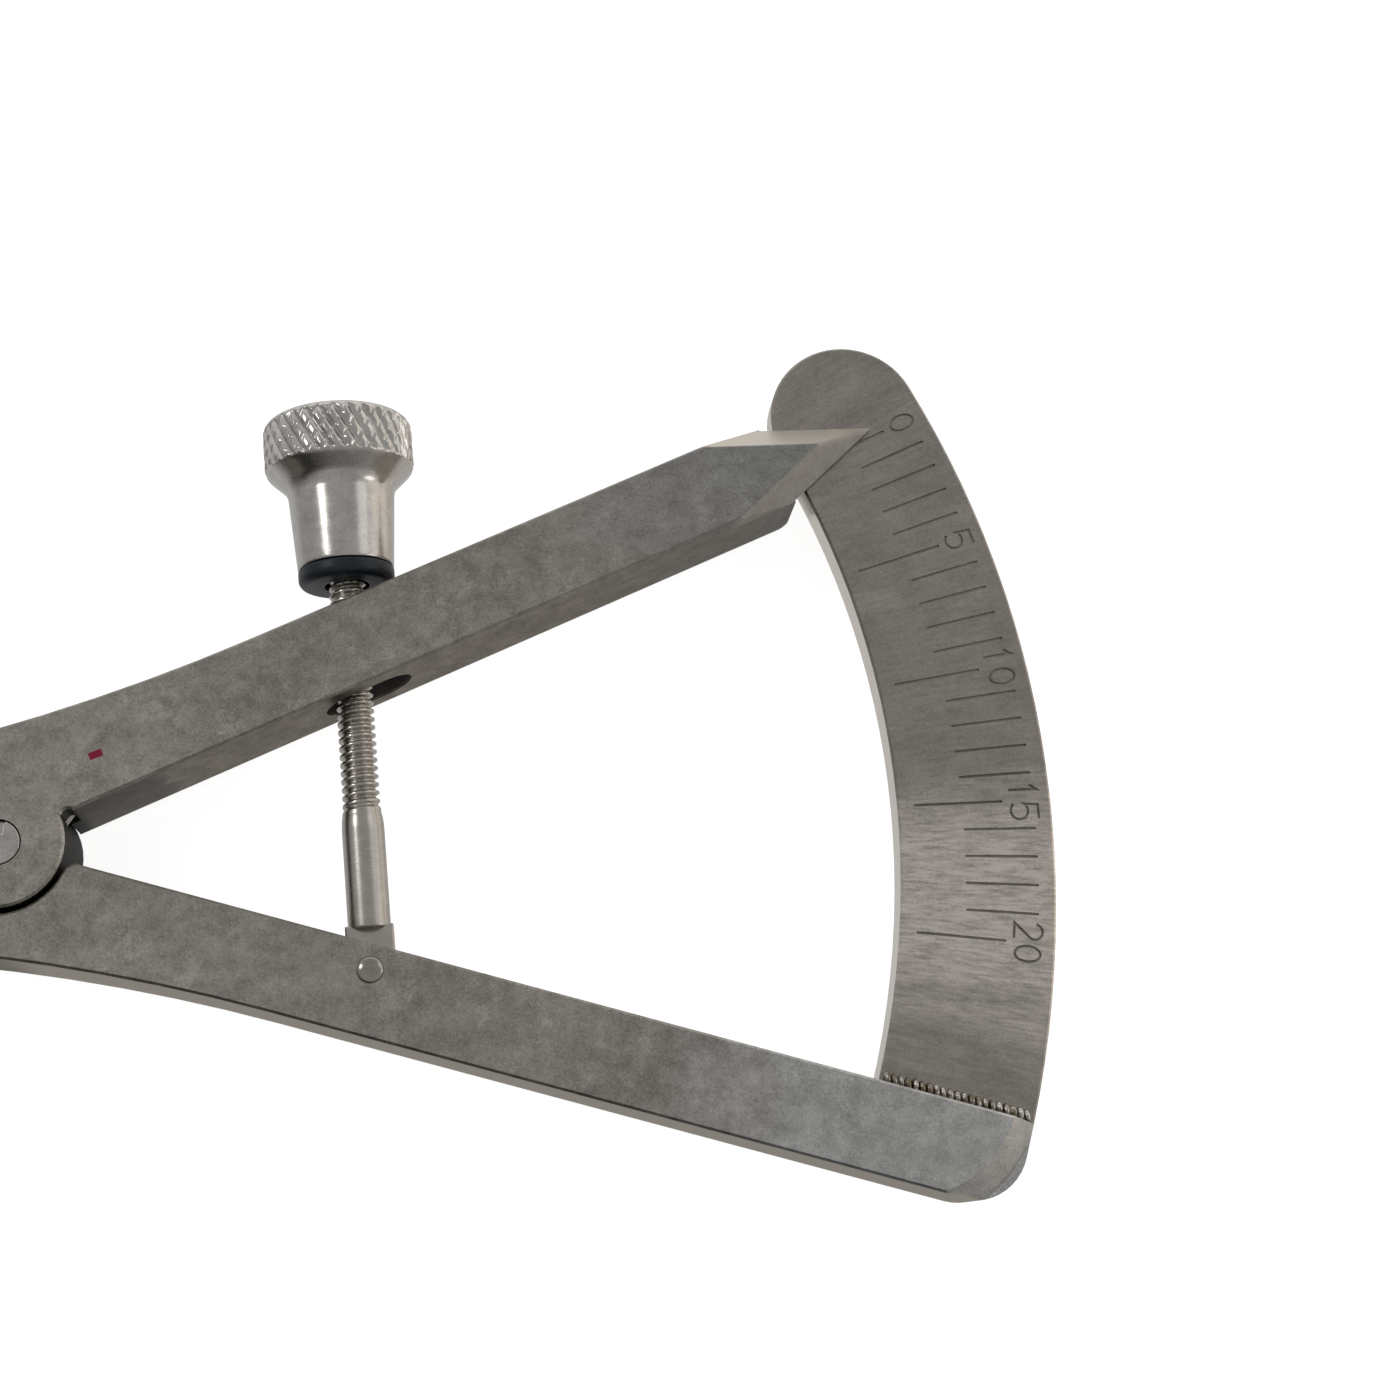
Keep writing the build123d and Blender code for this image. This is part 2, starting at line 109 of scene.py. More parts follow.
class NutSizes(bpy.types.PropertyGroup):
    """Sizes of the thumb nut and its knurl."""
    neck_radius: bpy.props.FloatProperty(
        name="Neck radius", description="Neck's radius just under the head",
        default=2.27 * MM, unit="LENGTH")
    neck_length: bpy.props.FloatProperty(
        name="Neck length", description="Length of the tapered neck",
        default=3.55 * MM, unit="LENGTH")
    undercut_length: bpy.props.FloatProperty(
        name="Undercut length", description="Length of the cone between neck and head",
        default=0.88 * MM, unit="LENGTH")
    bore_radius: bpy.props.FloatProperty(
        name="Bore radius", description="Radius of the bore that the screw passes through",
        default=0.805 * MM, unit="LENGTH")
    knurl_starts: bpy.props.IntProperty(
        name="Knurl starts", description="Grooves round the head in each direction", default=32)
    knurl_depth: bpy.props.FloatProperty(
        name="Knurl depth", description="Depth of the knurl's grooves",
        default=0.14 * MM, unit="LENGTH")
    knurl_angle: bpy.props.FloatProperty(
        name="Knurl angle", description="Angle between a groove and the screw's axis",
        default=math.radians(30), subtype="ANGLE")


class Colours(bpy.types.PropertyGroup):
    """Colours of the finishes."""
    satin: bpy.props.FloatVectorProperty(
        name="Satin steel", description="Both arms and the cross pin",
        default=(0.385, 0.358, 0.318), subtype="COLOR", min=0, max=1)
    plate: bpy.props.FloatVectorProperty(
        name="Brushed plate", description="The arc scale",
        default=(0.40, 0.365, 0.325), subtype="COLOR", min=0, max=1)
    bright: bpy.props.FloatVectorProperty(
        name="Bright steel", description="Thumb nut, pivot screw and weld beads",
        default=(0.58, 0.555, 0.52), subtype="COLOR", min=0, max=1)
    turned: bpy.props.FloatVectorProperty(
        name="Turned steel", description="Adjusting screw and spring",
        default=(0.50, 0.47, 0.43), subtype="COLOR", min=0, max=1)
    rubber: bpy.props.FloatVectorProperty(
        name="Rubber", description="Friction ring",
        default=(0.006, 0.010, 0.015), subtype="COLOR", min=0, max=1)
    ink: bpy.props.FloatVectorProperty(
        name="Ink", description="Red ink dot on the pointer arm",
        default=(0.26, 0.022, 0.055), subtype="COLOR", min=0, max=1)


class StudioSettings(bpy.types.PropertyGroup):
    """Camera, floor and lights."""
    lens: bpy.props.FloatProperty(
        name="Lens", description="Focal length in millimetres on a 36 mm sensor", default=55.44)
    camera_from_pivot: bpy.props.FloatVectorProperty(
        name="Camera place", description="Camera's place from the pivot's middle",
        default=(17.81 * MM, -18.03 * MM, 88.47 * MM), unit="LENGTH")
    aim_from_pivot: bpy.props.FloatVectorProperty(
        name="Aim", description="Point in the middle of the view, from the pivot's middle",
        default=(28.49 * MM, 3.63 * MM, 2.2 * MM), unit="LENGTH")
    roll: bpy.props.FloatProperty(
        name="Roll", description="Camera's turn about its own line of sight",
        default=math.radians(-6.01), subtype="ANGLE")
    floor_size: bpy.props.FloatProperty(
        name="Floor size", description="Side of the square floor", default=8.0, unit="LENGTH")
    floor_glow: bpy.props.FloatProperty(
        name="Floor glow", description="Light given off by the floor", default=0.78)
    ceiling_light: bpy.props.FloatProperty(
        name="Ceiling light", description="Brightness of the room straight above", default=0.42)
    table_light: bpy.props.FloatProperty(
        name="Table light", description="Brightness of the room straight below", default=0.57)
    horizon_light: bpy.props.FloatProperty(
        name="Horizon light", description="Mean brightness of the room's horizon", default=0.55)
    key_light: bpy.props.FloatProperty(
        name="Key light", description="Radiance of the brightest panel", default=6.0)


GROUPS = {
    "calliper_screw": ScrewSizes,
    "calliper_nut": NutSizes,
    "calliper_colours": Colours,
    "calliper_studio": StudioSettings,
}


# ---------------------------------------------------------------- surfaces

def polar_to_space(origin, across, up, along, angle, radius, height):
    """Points round an axis: origin + radius (cos a across + sin a up) + height along."""
    angle, radius, height = np.broadcast_arrays(angle, radius, height)
    across, up, along = (np.array(v) for v in (across, up, along))
    return (np.array(origin) + (radius * np.cos(angle))[..., None] * across
            + (radius * np.sin(angle))[..., None] * up + height[..., None] * along)


def round_screw(angle, radius, height):
    """Points round the adjusting screw's axis, their heights counted from the cross pin."""
    return polar_to_space(PIN, Z, X, Y, angle, radius, height)


def round_pivot(angle, radius, height):
    """Points round the pivot's axis, their heights counted from the middle of the arms."""
    return polar_to_space(PIVOT, X, Y, Z, angle, radius, height)


def round_pin(angle, radius, height):
    """Points round the cross pin's axis, their heights counted from the middle of the arms."""
    return polar_to_space(PIN, X, Y, Z, angle, radius, height)


def angles(count):
    """Evenly spaced angles once round, the last one short of a full turn."""
    return np.arange(count) * TURN / count


def ring_sheet(points, loop=False):
    """Vertices and faces of a surface given as rows of rings, points[row, place on the ring].

    Each ring closes on itself. With loop the last row joins the first, as on a ring with a
    bore; otherwise a fan to the middle of the first and of the last ring closes each end.
    """
    rows, columns = points.shape[:2]
    row, column = np.meshgrid(np.arange(rows if loop else rows - 1), np.arange(columns),
                              indexing="ij")
    next_row, next_column = (row + 1) % rows, (column + 1) % columns
    quads = np.stack([row * columns + column, row * columns + next_column,
                      next_row * columns + next_column, next_row * columns + column], axis=-1)
    vertices = points.reshape(-1, 3)
    faces = quads.reshape(-1, 4).tolist()
    if not loop:
        vertices = np.vstack([vertices, points[0].mean(0), points[-1].mean(0)])
        here = np.arange(columns)
        after = (here + 1) % columns
        last = (rows - 1) * columns
        faces += np.stack([np.full(columns, rows * columns), after, here], axis=-1).tolist()
        faces += np.stack([np.full(columns, rows * columns + 1), last + here, last + after],
                          axis=-1).tolist()
    return vertices, faces


def turned_outwards(vertices, faces):
    """The faces with their order reversed if the closed surface encloses a negative volume."""
    volume = 0.0
    for corners in (3, 4):
        picked = [face for face in faces if len(face) == corners]
        picked = np.array(picked, int).reshape(-1, corners)
        first = vertices[picked[:, 0]]
        for second in range(1, corners - 1):
            cross = np.cross(vertices[picked[:, second]], vertices[picked[:, second + 1]])
            volume += float((first * cross).sum())
    return faces if volume > 0 else [face[::-1] for face in faces]


def add_piece(name, shells, body, material, replaced=None):
    """One object from closed shells, smooth except at sharp edges, riding on a CAD body."""
    all_vertices, all_faces, start = [], [], 0
    for vertices, faces in shells:
        centred = vertices - vertices.mean(0)
        all_faces += [[corner + start for corner in face]
                      for face in turned_outwards(centred, faces)]
        all_vertices.append(vertices)
        start += len(vertices)
    mesh = bpy.data.meshes.new(name)
    mesh.from_pydata(np.vstack(all_vertices).tolist(), [], all_faces)
    mesh.polygons.foreach_set("use_smooth", np.ones(len(mesh.polygons), bool))
    mesh.set_sharp_from_angle(angle=math.radians(40))
    mesh.materials.append(material)
    mesh.update()
    piece = bpy.data.objects.new(name, mesh)
    bpy.context.scene.collection.objects.link(piece)
    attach(piece, body)
    if replaced:
        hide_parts(replaced)
    return piece


def rounded(corners, radius, steps=6, closed=False):
    """A path through corners, each one replaced by a curve that starts and ends radius from it.

    The curve is the quadratic blend (1-t)^2 A + 2t(1-t) C + t^2 B of the corner C and the two
    points A and B on its sides. radius is one length or one for each corner.
    """
    corners = np.array(corners, float)
    radius = np.broadcast_to(radius, len(corners))
    before, after = np.roll(corners, 1, axis=0), np.roll(corners, -1, axis=0)
    path = []
    t = np.linspace(0, 1, steps)[:, None]
    for i, corner in enumerate(corners):
        if not closed and i in (0, len(corners) - 1) or radius[i] == 0:
            path.append(corner[None])
            continue
        back, ahead = before[i] - corner, after[i] - corner
        a = corner + back * min(0.5, radius[i] / np.linalg.norm(back))
        b = corner + ahead * min(0.5, radius[i] / np.linalg.norm(ahead))
        path.append((1 - t) ** 2 * a + 2 * t * (1 - t) * corner + t ** 2 * b)
    return np.vstack(path)


def with_steps(path, step):
    """The path with extra points so that no two neighbours are further apart than step."""
    lengths = np.linalg.norm(np.diff(path, axis=0), axis=1)
    pieces = [np.linspace(a, b, max(1, math.ceil(length / step)), endpoint=False)
              for a, b, length in zip(path[:-1], path[1:], lengths)]
    return np.vstack(pieces + [path[-1:]])


def triangle_wave(x):
    """0 at every whole number, 1 half way between two of them, straight in between."""
    return 1 - np.abs(2 * (x % 1) - 1)


def smooth_step(x, low, high):
    """0 below low, 1 above high, and 3t^2 - 2t^3 in between."""
    t = np.clip((x - low) / (high - low), 0, 1)
    return t * t * (3 - 2 * t)


# ---------------------------------------------------------------- materials

class Value:
    """A node's output as a number: arithmetic on it adds Math nodes to the same material."""

    def __init__(self, finish, socket):
        self.finish, self.socket = finish, socket

    def math(self, operation, *others):
        inputs = dict(enumerate((self,) + others))
        return self.finish.node("ShaderNodeMath", inputs, operation=operation)

    def __add__(self, other):
        return self.math("ADD", other)

    def __mul__(self, other):
        return self.math("MULTIPLY", other)

    def __sub__(self, other):
        return self.math("SUBTRACT", other)

    def __rsub__(self, other):
        return self * -1 + other

    def __truediv__(self, other):
        return self.math("DIVIDE", other)

    __radd__, __rmul__ = __add__, __mul__

    def clamped(self):
        return self.finish.node("ShaderNodeClamp", {"Value": self})


class NodeTree:
    """A shader tree under construction round one of its nodes."""

    def __init__(self, owner, shader):
        owner.use_nodes = True
        self.tree = owner.node_tree
        self.shader = self.tree.nodes[shader]

    def put(self, socket, value):
        if isinstance(value, Value):
            self.tree.links.new(value.socket, socket)
        else:
            socket.default_value = value

    def node(self, kind, inputs=None, output=0, **settings):
        """Adds a node: its settings first, then each input's value or link."""
        made = self.tree.nodes.new(kind)
        for setting, value in settings.items():
            setattr(made, setting, value)
        for name, value in (inputs or {}).items():
            self.put(made.inputs[name], value)
        return Value(self, made.outputs[output])

    def set(self, socket, value):
        self.put(self.shader.inputs[socket], value)

    def mix(self, factor, first, second):
        """A colour between two others."""
        return self.node("ShaderNodeMix", {0: factor, 6: first, 7: second},
                         output=2, data_type="RGBA")

    def blend(self, value, low, high, below, above):
        """A number that passes smoothly from one to another while value goes from low to high."""
        return self.node("ShaderNodeMapRange", {
            "Value": value, "From Min": low, "From Max": high, "To Min": below, "To Max": above,
        }, interpolation_type="SMOOTHSTEP")

    def axes(self, vector):
        """A vector's three numbers."""
        split = self.node("ShaderNodeSeparateXYZ", {0: vector}).socket.node
        return [Value(self, output) for output in split.outputs]


class Finish(NodeTree):
    """A material round one Principled shader, with the patterns that the finishes share."""

    def __init__(self, name, **constants):
        self.material = bpy.data.materials.new(name)
        super().__init__(self.material, "Principled BSDF")
        for socket, value in constants.items():
            self.set(socket.replace("_", " "), value)

    def place(self):
        """Object coordinates, in metres in the model's frame."""
        return self.node("ShaderNodeTexCoord", output="Object")

    def noise(self, vector, size, detail=2.0, roughness=0.5):
        """Noise from 0 to 1 whose largest blotches are about size metres across."""
        return self.node("ShaderNodeTexNoise", {
            "Vector": vector, "Scale": 1 / size, "Detail": detail, "Roughness": roughness})

    def bump(self, height, strength, distance):
        return self.node("ShaderNodeBump", {
            "Height": height, "Strength": strength, "Distance": distance})


def shade(colour, factor):
    """A colour made lighter or darker, as red, green, blue and alpha."""
    return tuple(min(1.0, channel * factor) for channel in colour) + (1.0,)


def satin_steel(name, colour, ink=None):
    """Bead-blasted steel: faint clouds, a fine mottle, pale handling marks and a sharp grain.

    Towards the free end it turns a cooler grey, and shade is painted into the joint as a dark,
    dull colour. With ink it is the pointer arm's: painted shade on its inner side near the joint
    and in the screw slot, a painted highlight on the bevels of its tip, and marked with a dot.
    Without, it is the scale arm's, whose outer side has a painted reflection of the pale floor.
    """
    finish = Finish(name, Specular_Tint=(0.45, 0.43, 0.40, 1))
    finish.set("Specular IOR Level", 0.15)
    place = finish.place()
    clouds = finish.noise(place, 6 * MM, 2, 0.5)
    mottle = finish.noise(place, 0.9 * MM, 4, 0.7)
    grain = finish.noise(place, 0.10 * MM, 2, 0.7)
    marks = ((finish.noise(place, 1.6 * MM, 5, 0.75) - 0.56) * 7).clamped()
    tone = 0.40 + (clouds - 0.5) * 0.7 + (mottle - 0.5) * 1.6 + (grain - 0.5) * 1.4 + marks * 0.36
    tone = tone.clamped()
    base = finish.mix(tone, shade(colour, 0.66), shade(colour, 1.34))
    along, outward, height = along_arm(finish, place, 1 if ink else -1)
    ragged = along + (clouds - 0.5) * (14 * MM) + (mottle - 0.5) * (8 * MM)
    end_grey = (0.32, 0.32, 0.317) if ink else (0.56, 0.56, 0.55)
    base = finish.mix(finish.blend(ragged, 24 * MM, 37 * MM, 0, 0.8), base,
                      finish.mix(tone, shade(end_grey, 0.72), shade(end_grey, 1.28)))
    on_side = finish.blend(height, 2.02 * MM, 2.10 * MM, 1, 0) \
        * finish.blend(height, -2.15 * MM, -2.05 * MM, 0, 1)
    # painted shade: side faces within 3.5 mm of the pivot, where shade falls in the joint, turn
    # dark and dull
    joint = on_side * finish.blend((along * along + outward * outward).math("SQRT"),
                                   2.95 * MM, 3.5 * MM, 1, 0)
    bare_metal = 1 - joint
    roughness = 0.38 + (mottle - 0.5) * 0.16 + marks * 0.06
    if ink:
        # painted highlight: a lighter base colour on the bevels of the pointer's tip
        painted_bevel_highlight = finish.blend(along, 32.7 * MM, 33.1 * MM, 0, 1) \
            * finish.blend(height, 2.12 * MM, 2.18 * MM, 1, 0) \
            * finish.blend(height, 1.1 * MM, 1.2 * MM, 0, 1) \
            * finish.blend(outward, 1.5 * MM, 1.9 * MM, 0.25, 1)
        base = finish.mix(painted_bevel_highlight, base, shade(colour, 1.8))
        # painted shade: dark, dull patches on the inner side near the joint and inside the screw
        # slot
        inner_shade_mask = painted_inner_shade(finish, place, along, outward, height) * on_side
        base = finish.mix(inner_shade_mask, base, shade(PAINTED_SHADE_COLOUR, 1.0))
        dot = ink_dot(finish, place)
        base = finish.mix(dot, base, shade(ink, 1.0))
        bare_metal = bare_metal * (1 - inner_shade_mask) * (1 - dot)
    else:
        # painted reflection: the scale arm's outer side gets a lighter base colour for the pale
        # floor it mirrors
        painted_floor_reflection = on_side * finish.blend(outward, 3.4 * MM, 3.6 * MM, 0, 1) \
            * finish.blend(along, 1 * MM, 3 * MM, 0, 1)
        base = finish.mix(painted_floor_reflection, base, shade(colour, 1.9))
    # painted shade in the joint
    base = finish.mix(joint, base, shade(PAINTED_SHADE_COLOUR, 0.3))
    finish.set("Base Color", base)
    finish.set("Metallic", bare_metal)
    finish.set("Roughness", roughness * bare_metal + (1 - bare_metal) * 0.6)
    finish.set("Normal", finish.bump(grain * 0.8 + mottle * 0.8, 0.45, 0.004 * MM))
    return finish.material


def along_arm(finish, place, side):
    """Lengths along an arm and outward from its inner edge, and height over mid-thickness.

    side is 1 for the pointer arm and -1 for the scale arm, its mirror image.
    """
    x, y, z = finish.axes(place)
    x, y = x - PIVOT.x, (y - PIVOT.y) * side
    cosine, sine = math.cos(HALF_OPENING), math.sin(HALF_OPENING)
    return x * cosine + y * sine, y * cosine - x * sine, z - PIVOT.z


def painted_inner_shade(finish, place, along, outward, height):
    """Mask of painted shade: near 1 inside the screw slot, patchy on the inner side up to 8 mm from
    the joint, else 0.
    """
    patchy = finish.noise(place, 1.3 * MM, 4, 0.6)
    ragged = along + (patchy - 0.5) * (5 * MM)
    side = finish.blend(ragged, 6.2 * MM, 8.6 * MM, 1, 0) * (0.65 + patchy * 0.45).clamped() \
        * finish.blend(along, 1.0 * MM, 2.0 * MM, 0, 1) \
        * finish.blend(outward, 0.1 * MM, 0.2 * MM, 1, 0)
    slot_middle = 15.85 * MM
    in_slot = finish.blend((along - slot_middle).math("ABSOLUTE"), 1.90 * MM, 1.99 * MM, 1, 0) \
        * finish.blend(outward, 0.03 * MM, 0.12 * MM, 0, 1) \
        * finish.blend(outward, 3.5 * MM, 3.6 * MM, 1, 0) \
        * finish.blend(height.math("ABSOLUTE"), 1.16 * MM, 1.25 * MM, 1, 0)
    return (side + in_slot).clamped()


def ink_dot(finish, place):
    """1 inside a small slanted oblong on the pointer arm's upper face, 0 outside."""
    along, across = 0.27 * MM, 0.15 * MM
    centred = finish.node("ShaderNodeMapping", {
        "Vector": place,
        "Location": PIVOT + Vector((3.94, 3.26, 2.2)) * MM,
        "Rotation": (0, 0, math.radians(18)),
    }, vector_type="TEXTURE")
    x, y, z = finish.axes(centred)
    distance = (x / along).math("ABSOLUTE").math("MAXIMUM", (y / across).math("ABSOLUTE"))
    on_top = (1 - z.math("ABSOLUTE") / (0.05 * MM)).clamped()
    return ((1.08 - distance) * 8).clamped() * on_top


def brushed_plate(name, colour):
    """Steel brushed along the radii from the pivot, with painted reflections on its rims and darker
    engraved marks.

    The brushing is noise on the arc length and the radius, squeezed across and drawn out along
    the radius. A painted highlight brightens it between readings 15 and 20. The engraved marks are
    darker, most of all at the high readings.
    """
    finish = Finish(name, Metallic=1.0)
    place = finish.place()
    x, y, z = finish.axes(place)
    x, y = x - PIVOT.x, y - PIVOT.y
    radius = (x * x + y * y).math("SQRT")
    turn = y.math("ARCTAN2", x)
    arc = turn * (40 * MM)
    fine_place = finish.node("ShaderNodeCombineXYZ", {0: arc * 6, 1: radius * 0.7})
    broad_place = finish.node("ShaderNodeCombineXYZ", {0: arc * 1.1, 1: radius * 0.2})
    streaks = finish.noise(fine_place, MM, 4, 0.75)
    broad = finish.noise(broad_place, MM, 2, 0.5)
    mottle = finish.noise(place, 1.2 * MM, 4, 0.7)
    grain = finish.noise(place, 0.10 * MM, 2, 0.7)
    ragged = turn + (broad - 0.5) * math.radians(6)
    # painted highlight: a bright, streaky band between readings 15 and 20
    painted_sheen = finish.blend(ragged, math.radians(-19), math.radians(-10), 0, 1) \
        * finish.blend(ragged, math.radians(-5.5), math.radians(1), 1, 0)
    tone = 0.30 + (streaks - 0.5) * (0.9 + painted_sheen * 2.6) + (broad - 0.5) * 0.6 + (mottle - 0.5) * 0.9
    tone = (tone + (grain - 0.5) * 1.0 + painted_sheen * 0.40).clamped()
    base = finish.mix(tone, shade(colour, 0.70), shade(colour, 1.30))
    base = finish.mix(painted_sheen * 0.75, base, finish.mix(tone, shade(colour, 1.1), shade(colour, 2.3)))
    low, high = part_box("scale_plate")
    engraved = finish.blend(z, high.z - 0.06 * MM, high.z - 0.02 * MM, 1, 0) \
        * finish.blend((radius - 39.8 * MM).math("ABSOLUTE"), 3.15 * MM, 3.2 * MM, 1, 0) \
        * finish.blend(z, high.z - 0.15 * MM, high.z - 0.12 * MM, 0, 1)
    # the engraved marks are darker, most of all at the high readings
    groove_darkening = finish.blend(turn, math.radians(-6), math.radians(8), 0.7, 0.1)
    base = finish.mix(engraved * groove_darkening, base, shade(colour, 0.2))
    # painted reflection: the plate's side faces get a lighter base colour
    painted_rim_reflection = finish.blend(z, high.z - 0.14 * MM, high.z - 0.10 * MM, 1, 0) * (1 - engraved)
    painted_rim_reflection = painted_rim_reflection * finish.blend(z, low.z + 0.04 * MM, low.z + 0.08 * MM, 0, 1)
    base = finish.mix(painted_rim_reflection, base, shade(colour, 2.0))
    finish.set("Base Color", base)
    roughness = 0.36 + (streaks - 0.5) * 0.12 + engraved * 0.15 - painted_rim_reflection * 0.12 - painted_sheen * 0.08
    finish.set("Roughness", roughness)
    finish.set("Normal", finish.bump(streaks + grain * 0.3, 0.5, 0.006 * MM))
    return finish.material


def bright_steel(name, colour):
    """Nickel-bright turned steel with fine haze and small handling dents."""
    finish = Finish(name, Metallic=1.0)
    place = finish.place()
    haze = finish.noise(place, 0.9 * MM, 4, 0.65)
    grain = finish.noise(place, 0.10 * MM, 2, 0.6)
    tone = (0.5 + (haze - 0.5) * 1.5 + (grain - 0.5) * 0.8).clamped()
    finish.set("Base Color", finish.mix(tone, shade(colour, 0.70), shade(colour, 1.20)))
    finish.set("Roughness", 0.20 + (haze - 0.5) * 0.20 + (grain - 0.5) * 0.10)
    finish.set("Normal", finish.bump(haze * 0.7 + grain * 0.6, 0.4, 0.006 * MM))
    return finish.material


def weld_steel(name, colour):
    """Bright weld metal with dark, straw-coloured scale in patches between the bead tops."""
    finish = Finish(name, Metallic=1.0)
    place = finish.place()
    scale = ((finish.noise(place, 0.35 * MM, 3, 0.6) - 0.42) * 5).clamped()
    base = finish.mix(scale, shade((0.75, 0.62, 0.45), 0.28), shade(colour, 1.1))
    finish.set("Base Color", base)
    finish.set("Roughness", 0.30 - scale * 0.12)
    finish.set("Normal", finish.bump(scale, 0.3, 0.006 * MM))
    return finish.material


def turned_steel(name, colour):
    """Turned steel with fine rings across the screw's axis."""
    finish = Finish(name, Metallic=1.0)
    place = finish.place()
    stretched = finish.node("ShaderNodeMapping", {"Vector": place, "Scale": (0.15, 1.0, 0.15)})
    rings = finish.noise(stretched, 0.07 * MM, 2, 0.6)
    haze = finish.noise(place, 0.8 * MM, 3, 0.6)
    tone = (0.5 + (rings - 0.5) * 0.6 + (haze - 0.5) * 0.8).clamped()
    finish.set("Base Color", finish.mix(tone, shade(colour, 0.75), shade(colour, 1.2)))
    finish.set("Roughness", 0.26 + (haze - 0.5) * 0.16)
    finish.set("Normal", finish.bump(rings, 0.3, 0.004 * MM))
    return finish.material


def black_rubber(name, colour):
    """Black rubber with a dull bloom and a fine moulded grain."""
    finish = Finish(name)
    place = finish.place()
    bloom = finish.noise(place, 0.7 * MM, 3, 0.6)
    grain = finish.noise(place, 0.08 * MM, 2, 0.5)
    finish.set("Base Color", finish.mix(bloom, shade(colour, 0.7), shade(colour, 1.9)))
    finish.set("Roughness", 0.40 + (bloom - 0.5) * 0.2)
    finish.set("Specular IOR Level", 0.35)
    finish.set("Normal", finish.bump(grain, 0.3, 0.008 * MM))
    return finish.material


# ---------------------------------------------------------------- operators

class CALLIPER_OT_finish_arms(bpy.types.Operator):
    """Gives both arms their satin steel, with a red ink dot on the pointer arm"""
    bl_idname = "calliper.finish_arms"
    bl_label = "Finish the Arms"

    def execute(self, context):
        colours = context.scene.calliper_colours
        paint("scale_arm", satin_steel("satin_steel", colours.satin))
        paint("pointer_arm", satin_steel("satin_steel_inked", colours.satin, colours.ink))
        return {"FINISHED"}


def paint(node, material):
    """Puts a material on every slot of a CAD node."""
    cad_object = frame["nodes"][node]
    for slot in cad_object.material_slots:
        slot.material = material


class CALLIPER_OT_finish_plate(bpy.types.Operator):
    """Gives the arc scale its radial brushing"""
    bl_idname = "calliper.finish_plate"
    bl_label = "Finish the Scale Plate"

    def execute(self, context):
        paint("scale_plate", brushed_plate("brushed_plate", context.scene.calliper_colours.plate))
        return {"FINISHED"}


class CALLIPER_OT_add_adjusting_screw(bpy.types.Operator):
    """Adds the adjusting screw: flat tongue, plain shank, cone and helical thread"""
    bl_idname = "calliper.add_adjusting_screw"
    bl_label = "Add the Adjusting Screw"

    def execute(self, context):
        sizes = context.scene.calliper_screw
        material = turned_steel("turned_steel", context.scene.calliper_colours.turned)
        add_piece("threaded_screw", [screw_rod(sizes), screw_tongue(sizes)], "screw",
                  material, "adjusting_screw")
        return {"FINISHED"}


def screw_rod(sizes):
    """Shank, cone and thread as one surface.

    The radius is the turned profile less a thread cut whose depth follows a flattened triangle
    wave of height / pitch - angle / turn; the cut fades in at the cone and out at the end.
    """
    low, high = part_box("adjusting_screw")
    shank_radius, end = (high.z - low.z) / 2, high.y - PIN.y
    profile = rounded([
        (0.6 * shank_radius, sizes.tongue_length),
        (shank_radius, sizes.tongue_length),
        (shank_radius, sizes.shank_end),
        (sizes.thread_radius, sizes.thread_start),
        (sizes.thread_radius, end - 0.1 * MM),
        (sizes.thread_radius - 0.12 * MM, end),
        (0.3 * sizes.thread_radius, end),
    ], [0, 0.06 * MM, 0.3 * MM, 0.3 * MM, 0.03 * MM, 0.03 * MM, 0])
    radius, height = with_steps(profile, sizes.pitch / 14).T[..., None]
    angle = angles(56)[None]
    wave = triangle_wave(height / sizes.pitch - angle / TURN)
    cut = 1 - np.clip(wave * 1.7 - 0.25, 0, 1)
    cut = cut * smooth_step(height, sizes.thread_start - 0.5 * MM, sizes.thread_start + 0.5 * MM)
    cut = cut * (1 - smooth_step(height, end - 0.25 * MM, end))
    return ring_sheet(round_screw(angle, radius - sizes.thread_depth * cut, height))


def screw_tongue(sizes):
    """The flat tongue: a half circle round the cross pin and straight sides, its edges broken."""
    low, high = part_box("adjusting_screw")
    half_width = (high.x - low.x) / 2
    bow = np.linspace(math.pi, TURN, 25)
    top = sizes.tongue_length + 0.1 * MM
    across = np.concatenate([half_width * np.cos(bow), [half_width, -half_width]])
    along = np.concatenate([half_width * np.sin(bow), [top, top]])
    half, edge = sizes.tongue_thickness / 2, 0.06 * MM
    levels = np.array([-half, -half + edge, half - edge, half])[:, None]
    inset = np.array([1 - edge / half_width, 1, 1, 1 - edge / half_width])[:, None]
    points = np.stack([PIN.x + across * inset, PIN.y + along * inset,
                       PIN.z + levels + 0 * across], axis=-1)
    return ring_sheet(points)


class CALLIPER_OT_add_thumb_nut(bpy.types.Operator):
    """Adds the thumb nut: bored, with a tapered neck and a diamond-knurled head"""
    bl_idname = "calliper.add_thumb_nut"
    bl_label = "Add the Thumb Nut"

    def execute(self, context):
        sizes = context.scene.calliper_nut
        material = bright_steel("bright_steel_nut", context.scene.calliper_colours.bright)
        add_piece("knurled_nut", [nut_surface(sizes)], "nut", material,
                  "thumb_nut")
        return {"FINISHED"}


